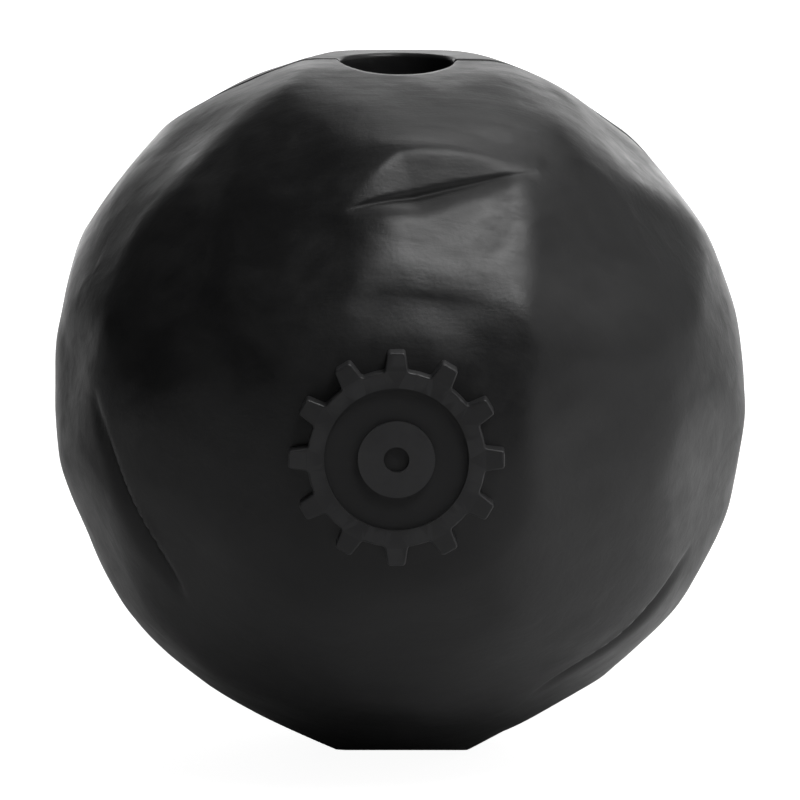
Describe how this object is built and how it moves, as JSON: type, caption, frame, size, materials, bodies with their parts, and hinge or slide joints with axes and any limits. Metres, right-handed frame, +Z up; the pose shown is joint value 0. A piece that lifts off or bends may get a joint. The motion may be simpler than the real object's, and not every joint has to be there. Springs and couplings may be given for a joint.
{
  "type": "hollow rubber friction ball",
  "caption": "Palm-sized hollow black rubber ball with hewn flats and chisel cuts for grip, a round mouth in the top, a flat foot to stand on and a raised wheel-shaped badge on the front.",
  "frame": {"origin": "centre of the flat foot that the ball stands on", "axes": "+Z up through the mouth; -Y out through the badge on the front; +X to the right as seen from the front. The halves meet in the plane Y = 0."},
  "size_m": [0.0744, 0.076, 0.0749],
  "materials": {
    "ball_rubber": "satin moulded black rubber",
    "badge_rubber": "satin black rubber, harder than the ball's",
    "seam_cement": "cured black rubber cement, slightly glossy",
    "badge_cement": "cured black rubber cement"
  },
  "bodies": {
    "root": {"front_half_shell": "ball_rubber", "rear_half_shell": "ball_rubber", "seam_cement": "seam_cement", "emblem_badge": "badge_rubber", "badge_cement": "badge_cement"}
  },
  "joints": []
}
